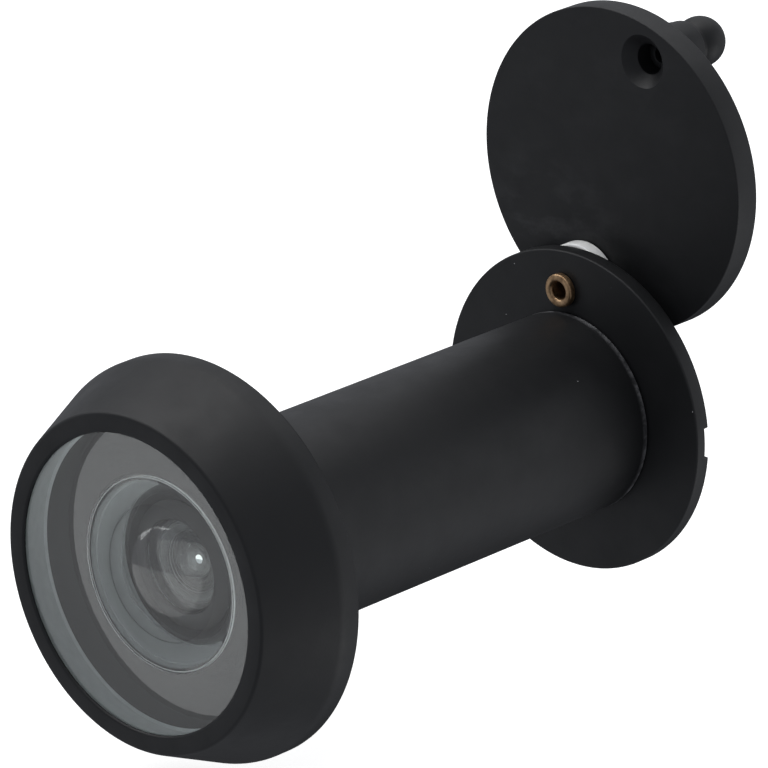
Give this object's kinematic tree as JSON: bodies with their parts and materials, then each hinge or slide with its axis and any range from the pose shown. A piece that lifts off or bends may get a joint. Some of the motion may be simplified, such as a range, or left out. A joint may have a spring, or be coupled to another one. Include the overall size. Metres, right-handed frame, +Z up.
{
  "type": "door viewer",
  "caption": "Black door viewer for a 14 mm hole: wide-angle lens in a conical flange, screw-together barrels and a round privacy cover with a ball knob that swings on a rivet",
  "frame": {"origin": "on the barrel's axis, in the plane where the outer flange sits on the door's outer face", "axes": "+Y along the barrel, from the street into the room; +Z up, from the barrel's axis to the cover's pivot; +X to the right for someone who faces the door from outside"},
  "size_m": [0.0278, 0.0519, 0.0416],
  "materials": {
    "black_paint": "satin black paint on brass",
    "optical_glass": "polished faces, ground edges",
    "black_rubber": "matte",
    "blackened_ring": "matt blackened brass",
    "white_nylon": "smooth white nylon",
    "bare_brass": "bare, a little dulled",
    "spring_steel": "bright"
  },
  "bodies": {
    "outer_barrel": {"front_housing": "black_paint", "front_lens": "optical_glass", "front_lens_seal": "black_rubber", "lens_retaining_ring": "blackened_ring", "second_lens": "optical_glass", "lens_spacer": "blackened_ring", "third_lens": "optical_glass"},
    "eyepiece": {"eyepiece_lens": "optical_glass", "eyepiece_retaining_ring": "blackened_ring"},
    "inner_barrel": {"rear_barrel": "black_paint", "light_baffle": "blackened_ring", "pivot_rivet": "bare_brass", "pivot_washer": "white_nylon", "spring_washer": "spring_steel"},
    "cover": {"swing_cover": "black_paint", "cover_knob": "black_paint"}
  },
  "joints": [
    {"name": "barrel_travel", "type": "slide", "parent": "outer_barrel", "child": "eyepiece", "axis": [0, 1, 0], "range_m": [0, 0.02]},
    {"name": "barrel_screw", "type": "hinge", "parent": "eyepiece", "child": "inner_barrel", "pos_m": [0, 0.0352, 0], "axis": [0, 1, 0], "range_deg": [0, 7200]},
    {"name": "cover_swing", "type": "hinge", "parent": "inner_barrel", "child": "cover", "pos_m": [0, 0.03762, 0.00858], "axis": [0, 1, 0], "range_deg": [-199.2, 160.8]}
  ],
  "couplings": [
    {"joint": "barrel_travel", "follows": "barrel_screw", "m_per_rad": 0.00015915}
  ]
}
